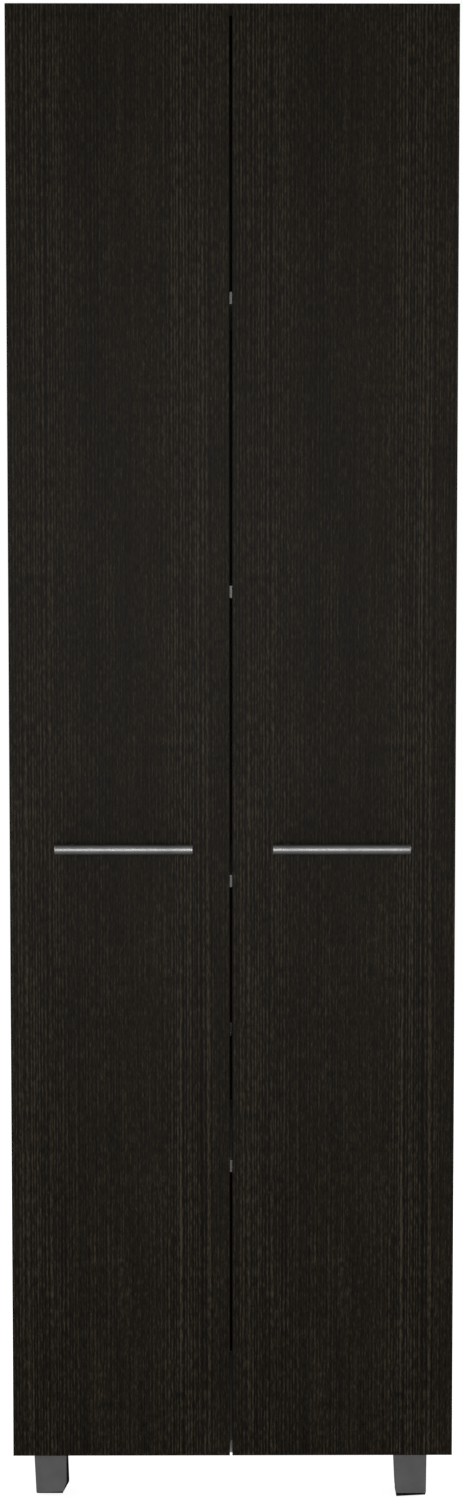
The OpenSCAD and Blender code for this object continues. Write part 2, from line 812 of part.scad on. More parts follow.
for (i = [0:2]) {
    hinge_cup(LEFT, i);
    hinge_cup(RIGHT, i);
    hinge_link(LEFT, i);
    hinge_link(RIGHT, i);
    hinge_arm(LEFT, i);
    hinge_arm(RIGHT, i);
}
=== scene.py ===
import math

import bmesh
import bpy
from mathutils import Matrix, Vector


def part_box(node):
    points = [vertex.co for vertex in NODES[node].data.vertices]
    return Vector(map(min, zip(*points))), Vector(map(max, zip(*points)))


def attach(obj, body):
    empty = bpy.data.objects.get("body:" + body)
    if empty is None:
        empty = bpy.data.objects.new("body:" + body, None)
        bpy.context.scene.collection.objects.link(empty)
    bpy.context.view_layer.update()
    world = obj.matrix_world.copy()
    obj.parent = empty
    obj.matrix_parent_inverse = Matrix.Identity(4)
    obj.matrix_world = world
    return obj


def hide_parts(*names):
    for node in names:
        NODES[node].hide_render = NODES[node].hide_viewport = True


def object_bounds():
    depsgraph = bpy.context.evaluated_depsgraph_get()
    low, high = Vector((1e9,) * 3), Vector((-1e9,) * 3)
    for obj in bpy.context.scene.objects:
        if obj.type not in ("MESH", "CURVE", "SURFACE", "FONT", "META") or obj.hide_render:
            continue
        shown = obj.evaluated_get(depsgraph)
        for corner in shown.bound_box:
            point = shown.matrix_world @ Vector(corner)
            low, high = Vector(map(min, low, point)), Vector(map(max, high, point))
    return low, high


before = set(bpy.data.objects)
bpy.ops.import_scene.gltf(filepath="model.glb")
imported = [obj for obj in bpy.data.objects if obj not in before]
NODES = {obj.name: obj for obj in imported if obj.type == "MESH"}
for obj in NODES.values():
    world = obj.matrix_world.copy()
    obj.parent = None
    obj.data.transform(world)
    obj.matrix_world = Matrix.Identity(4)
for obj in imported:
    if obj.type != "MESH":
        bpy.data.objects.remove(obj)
CAD_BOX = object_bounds()
DOOR_FRONT_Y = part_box("left_door")[0].y
MM = 0.001
AXES = "xyz"
SIDES = ("left", "right")
HINGES = ("lower", "middle", "upper")


def linear(r, g, b):
    """A colour given by its display values, 0 to 255, as the linear values that shaders take."""
    def channel(v):
        v /= 255
        return v / 12.92 if v <= 0.04045 else ((v + 0.055) / 1.055) ** 2.4
    return channel(r), channel(g), channel(b), 1.0


# ------------------------------------------------------------------ materials

class Paint:
    """One node material, with short names for the nodes that it is made of."""

    def __init__(self, name, **values):
        self.material = bpy.data.materials.new(name)
        self.material.use_nodes = True
        self.tree = self.material.node_tree
        self.tree.nodes.clear()
        self.shader = self.node("ShaderNodeBsdfPrincipled")
        output = self.node("ShaderNodeOutputMaterial")
        self.link(self.shader.outputs["BSDF"], output.inputs["Surface"])
        self.place = self.node("ShaderNodeTexCoord").outputs["Object"]
        parts = self.node("ShaderNodeSeparateXYZ")
        self.link(self.place, parts.inputs[0])
        self.axes = dict(zip(AXES, parts.outputs))
        self.set(**values)

    def node(self, kind, **settings):
        made = self.tree.nodes.new(kind)
        for key, value in settings.items():
            setattr(made, key, value)
        return made

    def link(self, source, target):
        self.tree.links.new(source, target)

    def feed(self, target, value):
        """Gives an input its value: a link from another node, or a number or colour."""
        if isinstance(value, bpy.types.NodeSocket):
            self.link(value, target)
        else:
            target.default_value = value

    def set(self, **values):
        """Feeds the shader's inputs, named with _ for each space."""
        for key, value in values.items():
            self.feed(self.shader.inputs[key.replace("_", " ")], value)

    def math(self, operation, *values):
        made = self.node("ShaderNodeMath", operation=operation)
        for socket, value in zip(made.inputs, values):
            self.feed(socket, value)
        return made.outputs[0]

    def times(self, a, b):
        return self.math("MULTIPLY", a, b)

    def stretch(self, x, y=None, z=None):
        """Object coordinates, scaled along each axis, or alike along all three."""
        made = self.node("ShaderNodeMapping")
        self.link(self.place, made.inputs["Vector"])
        made.inputs["Scale"].default_value = (x, x if y is None else y, x if z is None else z)
        return made.outputs[0]

    def vector(self, x, y, z):
        made = self.node("ShaderNodeCombineXYZ")
        for socket, value in zip(made.inputs, (x, y, z)):
            self.feed(socket, value)
        return made.outputs[0]

    def noise(self, vector, detail=2.0, roughness=0.5):
        made = self.node("ShaderNodeTexNoise")
        self.link(vector, made.inputs["Vector"])
        made.inputs["Scale"].default_value = 1.0
        made.inputs["Detail"].default_value = detail
        made.inputs["Roughness"].default_value = roughness
        return made.outputs[0]

    def cells(self, vector, output="Distance"):
        """Voronoi cells, by the distance to their middles or by a colour of their own."""
        made = self.node("ShaderNodeTexVoronoi")
        self.link(vector, made.inputs["Vector"])
        made.inputs["Scale"].default_value = 1.0
        return made.outputs[output]

    def channels(self, colour):
        """The red, green and blue of a colour, as three values."""
        made = self.node("ShaderNodeSeparateColor")
        self.link(colour, made.inputs[0])
        return made.outputs

    def span(self, value, low, high, to_low=0.0, to_high=1.0):
        """A value between low and high, brought to between to_low and to_high, and held there."""
        made = self.node("ShaderNodeMapRange")
        for socket, number in zip(made.inputs, (value, low, high, to_low, to_high)):
            self.feed(socket, number)
        return made.outputs[0]

    def ramp(self, value, *stops):
        made = self.node("ShaderNodeValToRGB")
        self.link(value, made.inputs[0])
        points = made.color_ramp.elements
        while len(points) < len(stops):
            points.new(0.5)
        for point, (position, colour) in zip(points, stops):
            point.position = position
            point.color = colour
        return made.outputs[0]

    def mix(self, factor, a, b):
        """One colour turning into another. The node's colour sockets come after its other ones."""
        made = self.node("ShaderNodeMix", data_type="RGBA")
        for socket, value in zip((made.inputs[0], made.inputs[6], made.inputs[7]), (factor, a, b)):
            self.feed(socket, value)
        return made.outputs[2]

    def bump(self, height, distance, strength=1.0):
        made = self.node("ShaderNodeBump")
        made.inputs["Strength"].default_value = strength
        made.inputs["Distance"].default_value = distance
        self.link(height, made.inputs["Height"])
        return made.outputs[0]


# How deep the print on a board's faces is taken to be
FACE_SKIN = 0.15 * MM


def face_mask(paint, node, facing):
    """1 on the two faces of a board across an axis, 0 on its edges and inside its holes."""
    lo, hi = (corner[AXES.index(facing)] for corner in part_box(node))
    away = paint.math("ABSOLUTE", paint.math("SUBTRACT", paint.axes[facing], (lo + hi) / 2))
    return paint.math("GREATER_THAN", away, (hi - lo) / 2 - FACE_SKIN)


def chipboard(paint):
    """Colour and height of a sawn chipboard edge."""
    chips = paint.channels(paint.cells(paint.stretch(620), output="Color"))
    colour = paint.ramp(chips[0], (0.0, linear(112, 84, 56)), (0.5, linear(158, 126, 88)),
                        (1.0, linear(192, 164, 122)))
    return colour, paint.noise(paint.stretch(900), detail=3)


WENGE_DARK = (0.0020, 0.0015, 0.0007, 1)
WENGE_MIDDLE = (0.0092, 0.0068, 0.0034, 1)
WENGE_LIGHT = (0.0402, 0.0322, 0.0200, 1)
PLAIN_TONE = 0.355

# The streaks of the print: how many there are to a metre across the grain and along it, the seed and the
# detail of their noise, and how far either side of 0.5 its values reach before they are held
STREAKS = {
    "fine": (300, 1.1, 3.0, 2.0, 0.14),
    "hair": (760, 5, 7.0, 1.0, 0.16),
    "dashes": (430, 78, 11.0, 1.0, 0.16),
    "flecks": (760, 190, 13.0, 1.0, 0.16),
    "pores": (2300, 60, 31.0, 1.0, 0.16),
    "wide": (17, 0.35, 17.0, 2.0, 0.18),
    "mottle": (45, 9, 23.0, 3.0, 0.20),
}

# A regular comb of stripes, which drifts sideways along the grain
COMB_PITCH = 4.1 * MM
COMB_DRIFT = 3.2

# How much the streaks stand out at each share of the way across a board: most near the side that it is
# counted from and about three quarters of the way across
STANDING_OUT = ((0.0, 0.45), (0.08, 0.85), (0.21, 0.8), (0.30, 0.35), (0.40, 0.5), (0.52, 0.22), (0.68, 0.28),
                (0.78, 1.0), (0.90, 0.75), (0.96, 0.3), (1.0, 0.4))


def wenge(paint, along, across, start, width):
    """Near-black wood print with its grain along one axis. Start and width place its stripes across it."""
    lengthways = paint.axes[along]
    sideways = paint.math("SUBTRACT", paint.axes[across], start)

    def spread(per_across, per_along, seed):
        return paint.vector(paint.times(sideways, per_across), paint.times(lengthways, per_along), seed)

    def streaks(kind):
        per_across, per_along, seed, detail, reach = STREAKS[kind]
        grain = paint.noise(spread(per_across, per_along, seed), detail=detail)
        return paint.span(grain, 0.5 - reach, 0.5 + reach, -1, 1)

    def add(total, part, amount):
        return paint.math("MULTIPLY_ADD", part, amount, total)

    groups = paint.ramp(paint.math("DIVIDE", sideways, width),
                        *((share, (strength,) * 4) for share, strength in STANDING_OUT))
    fine = streaks("fine")
    hair = streaks("hair")
    pores = streaks("pores")
    drift = paint.times(paint.noise(spread(55, 0.22, 29.0), detail=1.0), COMB_DRIFT)
    turns = paint.math("MULTIPLY_ADD", sideways, 1 / COMB_PITCH, drift)
    comb = paint.math("SINE", paint.times(turns, math.tau))
    half_groups = paint.math("MULTIPLY_ADD", groups, 0.5, 0.5)
    specks = paint.span(paint.cells(spread(30, 24, 0.0)), 0.0, 0.05, 1, 0)

    tone = PLAIN_TONE
    for part, amount in ((paint.times(fine, groups), 0.17), (paint.times(comb, groups), 0.30), (hair, 0.12),
                         (paint.times(streaks("dashes"), half_groups), 0.215), (streaks("flecks"), 0.12),
                         (pores, 0.10), (streaks("wide"), 0.05), (streaks("mottle"), 0.05), (groups, -0.03),
                         (specks, 0.5)):
        tone = add(tone, part, amount)
    colour = paint.ramp(tone, (0.0, WENGE_DARK), (0.42, WENGE_MIDDLE), (1.0, WENGE_LIGHT))
    height = add(add(paint.times(fine, 0.4), hair, 0.4), pores, 0.3)
    return colour, height


def dark_board(name, node, along, across, facing):
    """Board with the dark print on its two faces and bare chipboard elsewhere."""
    lo, hi = (corner[AXES.index(across)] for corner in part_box(node))
    paint = Paint(name, Specular_IOR_Level=0.065)
    colour, height = wenge(paint, along, across, lo, hi - lo)
    raw, rough = chipboard(paint)
    paint.set(Base_Color=paint.mix(face_mask(paint, node, facing), raw, colour),
              Roughness=paint.span(height, -1, 1, 0.43, 0.51),
              Normal=paint.bump(paint.math("MULTIPLY_ADD", rough, 2.0, height), 0.04 * MM, 0.8))
    return paint.material


def dark_band(name, node, along, across):
    """Plastic edge band printed to match the dark boards."""
    paint = Paint(name, Specular_IOR_Level=0.08)
    sideways = paint.math("SUBTRACT", paint.axes[across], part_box(node)[0][AXES.index(across)])
    grain = paint.noise(paint.vector(paint.times(sideways, 700), paint.times(paint.axes[along], 5), 2.0))
    colour = paint.ramp(grain, (0.3, (0.0030, 0.0026, 0.0021, 1)), (0.75, (0.0100, 0.0086, 0.0070, 1)))
    paint.set(Base_Color=colour, Roughness=0.42, Normal=paint.bump(grain, 0.03 * MM, 0.6))
    return paint.material


def light_board(name, node, facing):
    """Board with plain light grey melamine on its two faces and bare chipboard elsewhere."""
    paint = Paint(name, Specular_IOR_Level=0.4)
    raw, rough = chipboard(paint)
    cloud = paint.noise(paint.stretch(9), detail=3)
    pearl = paint.noise(paint.stretch(1400), detail=1)
    plain = paint.ramp(cloud, (0.3, linear(152, 152, 150)), (0.7, linear(160, 160, 158)))
    paint.set(Base_Color=paint.mix(face_mask(paint, node, facing), raw, plain),
              Roughness=paint.span(pearl, 0.3, 0.7, 0.38, 0.5),
              Normal=paint.bump(paint.math("ADD", pearl, rough), 0.02 * MM, 0.7))
    return paint.material


def light_band():
    """Plain grey plastic edge band of the shelves and the bottom panel."""
    paint = Paint("light_band", Specular_IOR_Level=0.4)
    fine = paint.noise(paint.stretch(40, 900, 900))
    paint.set(Base_Color=paint.ramp(fine, (0.3, linear(113, 113, 111)), (0.7, linear(126, 126, 124))),
              Roughness=0.4, Normal=paint.bump(fine, 0.02 * MM, 0.6))
    return paint.material


# The foil on the front of the hardboard, its dark print deepened with painted shade, and the screen marks in
# the fibres behind
FOIL = 0.4 * MM
SCREEN_PITCH = 1.9 * MM


def hardboard(node):
    """Thin hardboard: a dark wood print on its front, mixed three quarters of the way to black as painted
    shade for the unlit inside of the cabinet; the brown screen-marked fibre face behind.
    """
    left, right = CAD_BOX[0][0], CAD_BOX[1][0]
    paint = Paint("hardboard_sheet", Specular_IOR_Level=0.05)
    behind = paint.math("GREATER_THAN", paint.axes["y"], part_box(node)[0].y + FOIL)
    fibre = paint.noise(paint.stretch(520, 520, 380), detail=5, roughness=0.75)
    cloud = paint.noise(paint.stretch(7), detail=3)
    brown = paint.mix(cloud, linear(98, 71, 46), linear(121, 91, 61))
    brown = paint.mix(paint.span(fibre, 0.38, 0.78, 0, 0.8), brown, linear(76, 52, 32))
    # Painted shade: the front's wood print is mixed three quarters of the way to black, standing in for the
    # unlit inside of the cabinet.
    foil_print_and_painted_shade = paint.mix(0.75, wenge(paint, "z", "x", left, right - left)[0], (0, 0, 0, 1))
    waves = [paint.math("SINE", paint.times(paint.axes[axis], math.tau / SCREEN_PITCH)) for axis in "xz"]
    screen = paint.math("MULTIPLY_ADD", paint.times(*waves), 0.5, fibre)
    paint.set(Base_Color=paint.mix(behind, foil_print_and_painted_shade, brown), Roughness=paint.span(behind, 0, 1, 0.5, 0.8),
              Normal=paint.bump(paint.times(screen, behind), 0.16 * MM, 0.9))
    return paint.material


def shade(colour, share):
    """A colour made darker or lighter, up to white."""
    return tuple(min(v * share, 1) for v in colour[:3]) + (1,)


def metal(name, colour, roughness, mottle_scale, brush=(1800,), bump=0.01, uneven=0.22):
    """Metal with a slightly uneven finish. Brush gives the scale of its fine scratches, alike or along each
    axis."""
    paint = Paint(name, Metallic=1.0)
    cloud = paint.noise(paint.stretch(mottle_scale), detail=4, roughness=0.6)
    scratches = paint.noise(paint.stretch(*brush), detail=3)
    paint.set(Base_Color=paint.ramp(cloud, (0.32, shade(colour, 0.84)), (0.68, shade(colour, 1.08))),
              Roughness=paint.math("MULTIPLY_ADD", paint.math("SUBTRACT", scratches, 0.5), uneven, roughness),
              Normal=paint.bump(scratches, bump * MM, 0.7))
    return paint.material


def galvanised():
    """Zinc-plated steel sheet, with faint spangles."""
    paint = Paint("galvanised_sheet", Metallic=1.0)
    spangle = paint.channels(paint.cells(paint.stretch(160), output="Color"))
    paint.set(Base_Color=paint.ramp(spangle[0], (0.0, linear(138, 138, 136)), (1.0, linear(176, 174, 168))),
              Roughness=paint.span(spangle[1], 0, 1, 0.3, 0.5),
              Normal=paint.bump(paint.noise(paint.stretch(700), detail=3), 0.02 * MM, 0.6))
    return paint.material


def plastic(name, colour, roughness, grain_scale=1700, depth=0.03, specular=0.4):
    """Moulded plastic with a fine spark-eroded texture and slightly uneven colour."""
    paint = Paint(name, Specular_IOR_Level=specular)
    cloud = paint.noise(paint.stretch(60), detail=3)
    grain = paint.noise(paint.stretch(grain_scale))
    paint.set(Base_Color=paint.ramp(cloud, (0.3, shade(colour, 0.88)), (0.7, shade(colour, 1.10))),
              Roughness=paint.span(grain, 0.3, 0.7, roughness - 0.05, roughness + 0.07),
              Normal=paint.bump(grain, depth * MM, 0.7))
    return paint.material


def beech():
    """Bare beech, with its grain upright."""
    paint = Paint("beech_wood", Specular_IOR_Level=0.3)
    grain = paint.noise(paint.stretch(900, 900, 120), detail=3)
    paint.set(Base_Color=paint.ramp(grain, (0.3, linear(176, 132, 84)), (0.7, linear(206, 168, 118))),
              Roughness=0.65, Normal=paint.bump(grain, 0.05 * MM))
    return paint.material


# ------------------------------------------------------------------ meshes

# Faces that meet at more than this angle have a sharp edge between them
SHARP = math.radians(35)


def add_piece(name, bm, material, slot, body, *replaced):
    """Makes a mesh piece that rides on a body and stands for the CAD nodes named."""
    mesh = bpy.data.meshes.new(name)
    bmesh.ops.recalc_face_normals(bm, faces=bm.faces)
    bm.to_mesh(mesh)
    bm.free()
    mesh.shade_smooth()
    mesh.set_sharp_from_angle(angle=SHARP)
    piece = bpy.data.objects.new(name, mesh)
    bpy.context.scene.collection.objects.link(piece)
    mesh.materials.append(material)
    even = piece.modifiers.new("even_shading", "WEIGHTED_NORMAL")
    even.keep_sharp = True
    even.weight = 80
    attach(piece, body)
    for node in replaced:
        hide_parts(node)


def cad_mesh(node):
    """A copy of a CAD node's mesh, with its corners joined and its flat faces whole."""
    bm = bmesh.new()
    bm.from_mesh(NODES[node].data)
    bmesh.ops.remove_doubles(bm, verts=bm.verts, dist=0.001 * MM)
    bmesh.ops.dissolve_limit(bm, angle_limit=math.radians(0.6), verts=bm.verts, edges=bm.edges)
    return bm


def round_edges(bm, edges, radius, segments=3):
    """Rounds the edges given, as far as their neighbours leave room."""
    bmesh.ops.bevel(bm, geom=edges, offset=radius, offset_type="OFFSET", segments=segments, profile=0.5,
                    affect="EDGES", clamp_overlap=True)


def sharp_edges(bm, angle):
    """The edges whose two faces meet at more than an angle."""
    return [e for e in bm.edges if len(e.link_faces) == 2 and e.calc_face_angle(0) > angle]


def block_mesh(lo, hi):
    """A box between two corners."""
    bm = bmesh.new()
    bmesh.ops.create_cube(bm, size=1)
    for v in bm.verts:
        v.co = Vector(lo[i] + (v.co[i] + 0.5) * (hi[i] - lo[i]) for i in range(3))
    return bm


def merge(target, source):
    """Adds one bmesh to another."""
    carrier = bpy.data.meshes.new("carrier")
    source.to_mesh(carrier)
    source.free()
    target.from_mesh(carrier)
    bpy.data.meshes.remove(carrier)


# Thickness of an edge band, and how far its outer edges are rounded
BAND = 0.8 * MM
BAND_ROUNDING = 0.6 * MM
EDGE_NAMES = {"-x": "left", "+x": "right", "-y": "front", "+y": "rear", "-z": "bottom", "+z": "top"}


def end_and_axis(edge):
    """An edge such as "+z" as two numbers: which end of the box it is at, and along which axis."""
    return "-+".index(edge[0]), AXES.index(edge[1])


def banded_board(node, banded, core, slot, bands, body):
    """A board with edge bands on the edges named, such as ("-z", "+x"). The core keeps the CAD node's holes
    and is set back by a band's thickness under each band. Bands gives each axis the material of its bands."""
    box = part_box(node)
    core_box = [corner.copy() for corner in box]
    for edge in banded:
        end, axis = end_and_axis(edge)
        core_box[end][axis] += BAND if end == 0 else -BAND
    bm = cad_mesh(node)
    for v in bm.verts:
        for axis in range(3):
            v.co[axis] = min(max(v.co[axis], core_box[0][axis]), core_box[1][axis])
    add_piece(node + "_board", bm, core, slot, body, node)

    last_axis = end_and_axis(banded[-1])[1]
    for edge in banded:
        end, axis = end_and_axis(edge)
        band_box = [corner.copy() for corner in box]
        # the bands named last run between the others
        if axis == last_axis:
            for other_end, other_axis in map(end_and_axis, banded):
                if other_axis != axis:
                    band_box[other_end][other_axis] = core_box[other_end][other_axis]
        band_box[1 - end][axis] = core_box[end][axis]
        strip = block_mesh(*band_box)
        outside = box[end][axis]
        edges = [e for e in strip.edges if all(abs(v.co[axis] - outside) < 0.0001 * MM for v in e.verts)]
        round_edges(strip, edges, BAND_ROUNDING)
        add_piece(f"{node}_{EDGE_NAMES[edge]}_band", strip, bands[edge[1]], slot, body)


def spun_mesh(rings, segments):
    """A closed solid turned about Z. Each ring is a radius, or a function of the angle, and a height."""
    bm = bmesh.new()
    loops = []
    for radius, height in rings:
        if radius == 0:
            loops.append([bm.verts.new((0, 0, height))] * segments)
            continue
        loop = []
        for i in range(segments):
            angle = math.tau * i / segments
            r = radius(angle) if callable(radius) else radius
            loop.append(bm.verts.new((r * math.cos(angle), r * math.sin(angle), height)))
        loops.append(loop)
    for below, above in zip(loops, loops[1:]):
        for i in range(segments):
            j = (i + 1) % segments
            corners = []
            for v in (below[i], below[j], above[j], above[i]):
                if v not in corners:
                    corners.append(v)
            if len(corners) > 2:
                bm.faces.new(corners)
    return bm


def aim(direction, at):
    """Turns +Z to a direction and moves the origin to a point."""
    turn = Vector((0, 0, 1)).rotation_difference(Vector(direction))
    return Matrix.Translation(at) @ turn.to_matrix().to_4x4()


def islands(node):
    """The separate solids of a CAD node, each as a list of its points."""
    bm = cad_mesh(node)
    seen, found = set(), []
    for start in bm.verts:
        if start in seen:
            continue
        group, todo = [], [start]
        seen.add(start)
        while todo:
            v = todo.pop()
            group.append(v.co.copy())
            for e in v.link_edges:
                w = e.other_vert(v)
                if w not in seen:
                    seen.add(w)
                    todo.append(w)
        found.append(group)
    bm.free()
    return found


def run_of(points, axis=None):
    """Where a round solid lies along an axis, or along its longest side: that axis, its middle, its two ends,
    and its radius at each."""
    lo = Vector(min(p[i] for p in points) for i in range(3))
    hi = Vector(max(p[i] for p in points) for i in range(3))
    middle = (lo + hi) / 2
    if axis is None:
        axis = max(range(3), key=lambda i: hi[i] - lo[i])
    across = [i for i in range(3) if i != axis]

    def radius(end):
        near = [p for p in points if abs(p[axis] - end) < 0.3 * MM]
        return max((math.dist([p[i] for i in across], [middle[i] for i in across]) for p in near), default=0)
    return axis, middle, lo[axis], hi[axis], radius(lo[axis]), radius(hi[axis])


def cross_recess(half_length, half_slot):
    """The outline of a cross, as a radius for each angle."""
    def radius(angle):
        c, s = abs(math.cos(angle)), abs(math.sin(angle))
        return min(half_length / max(c, s), half_slot / max(min(c, s), 1e-6))
    return radius


THREAD_PITCH = 1.4 * MM
SCREW_POINT = 2 * MM


def screw_mesh(length, shank_r, head_r, head_t):
    """A cross-recessed screw: its head's top at the origin and its point at +length."""
    wide = cross_recess(head_r * 0.58, head_r * 0.15)
    narrow = cross_recess(head_r * 0.36, head_r * 0.10)
    crown = head_t * 0.35
    root_r = shank_r * 0.80
    rings = [(0, head_t * 0.72), (narrow, head_t * 0.68), (wide, crown * 0.18), (head_r * 0.66, crown * 0.10),
             (head_r * 0.82, crown * 0.42), (head_r * 0.94, crown), (head_r, crown + head_t * 0.22),
             (head_r, head_t * 0.90), (head_r * 0.95, head_t), (shank_r * 0.82, head_t)]
    z = head_t + 0.6 * MM
    while z < length - SCREW_POINT - 0.2 * MM:
        rings += [(root_r, z), (shank_r, z + THREAD_PITCH * 0.45), (shank_r, z + THREAD_PITCH * 0.55)]
        z += THREAD_PITCH
    rings += [(root_r, length - SCREW_POINT), (shank_r * 0.3, length - 0.4 * MM), (0, length)]
    return spun_mesh(rings, 48)


def turned(name, node, material, slot, body, shape, axis=None):
    """Stands for a CAD node of round solids. shape(length, wide, narrow, head) draws one of them along +Z,
    from its wider end, or from its higher end if both are the same. Its axis is its longest side unless one
    is given."""
    bm = bmesh.new()
    for points in islands(node):
        along, middle, low, high, r_low, r_high = run_of(points, axis)
        across = [i for i in range(3) if i != along]
        from_low = r_low > r_high + 0.1 * MM
        wide, narrow = max(r_low, r_high), min(r_low, r_high)
        direction = Vector((0, 0, 0))
        direction[along] = 1 if from_low else -1
        start = middle.copy()
        start[along] = low if from_low else high
        head = max((abs(p[along] - start[along]) for p in points
                    if max(abs(p[i] - middle[i]) for i in across) > narrow * 1.3), default=0)
        one = shape(high - low, wide, narrow, head)
        bmesh.ops.transform(one, matrix=aim(direction, start), verts=one.verts)
        merge(bm, one)
    add_piece(name, bm, material, slot, body, node)


def screws(name, node, material, body):
    """Stands for a CAD node of screws."""
    turned(name, node, material, "screw_steel", body,
           lambda length, wide, narrow, head: screw_mesh(length, narrow, wide, head))


def rounded_rod(length, wide, narrow, head, radius=0.9 * MM, segments=32):
    """A rod with both rims rounded."""
    rings = [(0, 0)]
    for degrees in (0, 22.5, 45, 67.5, 90):
        turn = math.radians(degrees)
        rings.append((wide - radius + radius * math.sin(turn), radius - radius * math.cos(turn)))
    return spun_mesh(rings + [(r, length - z) for r, z in reversed(rings)], segments)


def nail(length, wide, narrow, head):
    """A round nail with a slightly domed head and a blunt point."""
    rings = [(0, 0), (wide * 0.45, 0.04 * MM), (wide * 0.8, 0.18 * MM), (wide, 0.4 * MM),
             (wide, head - 0.1 * MM), (wide * 0.9, head), (narrow * 1.2, head), (narrow, head + 0.5 * MM),
             (narrow, length - 2.4 * MM), (narrow * 0.85, length - 2.0 * MM), (0, length)]
    return spun_mesh(rings, 24)


def dome(length, wide, narrow, head):
    """A soft dot, domed at its free end."""
    rings = [(0, 0)]
    for degrees in (18, 36, 54, 72, 90):
        turn = math.radians(degrees)
        rings.append((wide * math.sin(turn), length * 0.75 * (1 - math.cos(turn))))
    return spun_mesh(rings + [(wide, length), (0, length)], 32)


FLUTES = 18
FLUTE_SEGMENTS = 6


def fluted_dowel(length, wide, narrow, head):
    """A wooden dowel with chamfered ends and glue flutes."""
    def fluted(angle):
        return wide * (1 - 0.07 * max(0, math.cos(angle * FLUTES)))
    end = 1.2 * MM
    rings = [(0, 0), (wide * 0.7, 0), (wide * 0.93, end), (fluted, end * 1.3),
             (fluted, length - end * 1.3), (wide * 0.93, length - end), (wide * 0.7, length), (0, length)]
    return spun_mesh(rings, FLUTES * FLUTE_SEGMENTS)


def softened(name, node, material, slot, body, radius, segments=2, angle=SHARP, at=None):
    """Stands for a CAD node, with its edges rounded: all of them, or those that lie at one place along Y."""
    bm = cad_mesh(node)
    edges = sharp_edges(bm, angle)
    if at is not None:
        edges = [e for e in edges if all(abs(v.co.y - at) < 0.1 * MM for v in e.verts)]
    round_edges(bm, edges, radius, segments)
    add_piece(name, bm, material, slot, body, node)


# ------------------------------------------------------------------ boards

for side in SIDES:
    node = side + "_side"
    banded_board(node, ("-y",), dark_board(node + "_print", node, "z", "y", "x"), "dark_board",
                 {"y": dark_band(node + "_front_band", node, "z", "x")}, "carcass")

top_bands = {"x": dark_band("top_end_band", "top_panel", "y", "z"),
             "y": dark_band("top_front_band", "top_panel", "x", "z")}
banded_board("top_panel", ("-x", "+x", "-y"), dark_board("top_print", "top_panel", "x", "y", "z"),
             "dark_board", top_bands, "carcass")

pale = light_band()
for node in ("bottom_panel", "shelf_1", "shelf_2", "shelf_3", "shelf_4"):
    banded_board(node, ("-y",), light_board(node + "_melamine", node, "z"), "light_board", {"y": pale},
                 "carcass")

for side in SIDES:
    node = side + "_door"
    door_bands = {"x": dark_band(node + "_side_band", node, "z", "y"),
                  "z": dark_band(node + "_end_band", node, "x", "y")}
    banded_board(node, ("-x", "+x", "-z", "+z"), dark_board(node + "_print", node, "z", "x", "y"),
                 "dark_board", door_bands, node)

# ------------------------------------------------------------------ back

sheet = hardboard("back_panel_lower")
for node in ("back_panel_lower", "back_panel_upper"):
    NODES[node].material_slots[0].material = sheet
strip = plastic("joint_strip_plastic", linear(84, 82, 79), 0.45)
softened("joint_strip", "back_joint_strip", strip, "strip_plastic", "carcass", 0.3 * MM)

# ------------------------------------------------------------------ small parts

zinc = metal("zinc_plated_steel", linear(188, 186, 180), 0.34, 220, bump=0.008)
cast = metal("die_cast_zinc", linear(150, 150, 148), 0.5, 400, bump=0.03)
nickel = metal("nickel_plate", linear(206, 202, 193), 0.3, 150, bump=0.006)
rubber = plastic("black_foot_plastic", (0.002, 0.002, 0.002, 1), 0.6, specular=0.12)
leg_grey = plastic("leg_plastic_grey", (0.070, 0.070, 0.070, 1), 0.5)
dot = plastic("bumper_soft_plastic", linear(205, 205, 200), 0.25, 300, 0.01)
NODES["cam_bolts"].material_slots[0].material = zinc

turned("rear_nails", "back_nails", zinc, "screw_steel", "carcass", nail)
turned("shelf_support_pins", "shelf_pins", cast, "cast_zinc", "carcass", rounded_rod)
turned("fluted_dowels", "wood_dowels", beech(), "beech", "carcass", fluted_dowel)
softened("cam_housings", "cam_locks", cast, "cast_zinc", "carcass", 0.2 * MM)
softened("anti_tip_bracket", "wall_bracket", galvanised(), "bracket_steel", "carcass", 0.35 * MM)
for node in ("leg_front_left", "leg_front_right", "leg_rear_right", "leg_rear_left"):
    softened(node + "_cover", node, leg_grey, "leg_plastic", "carcass", 0.7 * MM, 3, math.radians(20))
softened("leg_foot_cores", "leg_feet", rubber, "foot_rubber", "carcass", 0.5 * MM)
for side in SIDES:
    turned(side + "_door_dots", side + "_door_bumpers", dot, "bumper_plastic", side + "_door", dome, axis=1)
    softened(side + "_plates", side + "_hinge_plates", nickel, "hinge_nickel", "carcass", 0.35 * MM)
    for level in HINGES:
        softened(f"{side}_{level}_hinge_cup", f"{side}_cup_{level}", nickel, "hinge_nickel", side + "_door",
                 0.3 * MM)
        softened(f"{side}_{level}_hinge_link", f"{side}_link_{level}", nickel, "hinge_nickel",
                 side + "_hinge_links", 0.25 * MM)
        softened(f"{side}_{level}_hinge_arm", f"{side}_arm_{level}", nickel, "hinge_nickel", "carcass",
                 0.25 * MM)

# ------------------------------------------------------------------ screws

screws("hinge_plate_screws", "plate_screws", zinc, "carcass")
screws("hinge_arm_screws", "arm_screws", zinc, "carcass")
screws("leg_fixing_screws", "leg_screws", zinc, "carcass")
screws("bracket_fixing_screws", "bracket_screws", zinc, "carcass")
for side in SIDES:
    screws(side + "_cup_fixing_screws", side + "_cup_screws", zinc, side + "_door")
    screws(side + "_handle_fixing_screws", side + "_handle_screws", zinc, side + "_door")

# ------------------------------------------------------------------ handles

